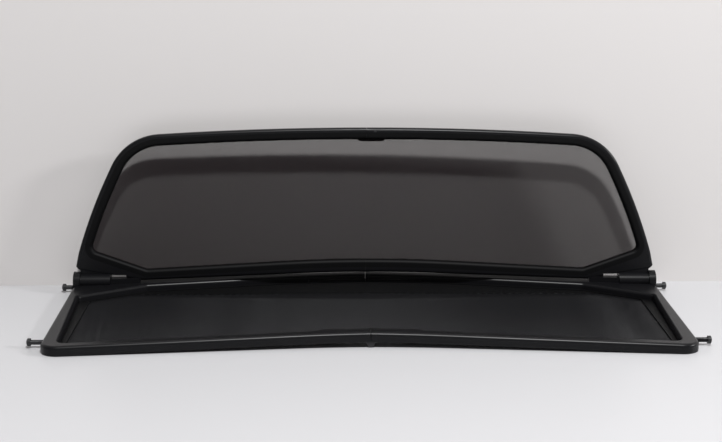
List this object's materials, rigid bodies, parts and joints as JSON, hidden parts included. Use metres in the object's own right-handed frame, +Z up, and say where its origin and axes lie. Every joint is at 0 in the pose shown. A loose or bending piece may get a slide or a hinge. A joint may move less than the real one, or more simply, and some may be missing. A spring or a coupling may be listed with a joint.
{
  "type": "wind deflector",
  "caption": "Two hinged frames with net: a flat lower panel on four side studs and an upright panel that folds down on it.",
  "frame": {"origin": "middle of the footprint on the ground", "axes": "+X to the right along the hinge line, +Y to the rear, +Z up"},
  "size_m": [1.164, 0.4499, 0.3179],
  "materials": {
    "frame": "satin moulded",
    "net": "fine woven net",
    "strip": "matt",
    "stud": "satin moulded",
    "bush": "matt",
    "steel": "black coated"
  },
  "bodies": {
    "lower_panel": {"lower_frame_left": "frame", "lower_frame_right": "frame", "lower_net": "net", "lower_net_strip_left": "strip", "lower_net_strip_right": "strip", "near_hinge_leaf_left": "steel", "near_hinge_leaf_right": "steel", "near_hinge_pin": "steel", "far_hinge_leaf_left": "steel", "far_hinge_leaf_right": "steel", "far_hinge_pin": "steel", "leaf_screws": "steel", "front_stud_left": "stud", "front_stud_right": "stud", "rear_stud_left": "stud", "rear_stud_right": "stud", "tilt_pin_left": "steel", "tilt_pin_right": "steel"},
    "upper_panel": {"upper_frame_left": "frame", "upper_frame_right": "frame", "upper_net": "net", "upper_net_strip_left": "strip", "upper_net_strip_right": "strip", "hinge_bush_left": "bush", "hinge_bush_right": "bush", "top_joint_pin": "steel", "sill_dowel": "steel"}
  },
  "joints": [
    {"name": "upper_tilt", "type": "hinge", "parent": "lower_panel", "child": "upper_panel", "pos_m": [0, 0.175, 0.022], "axis": [1, 0, 0], "range_deg": [0, 90]}
  ]
}
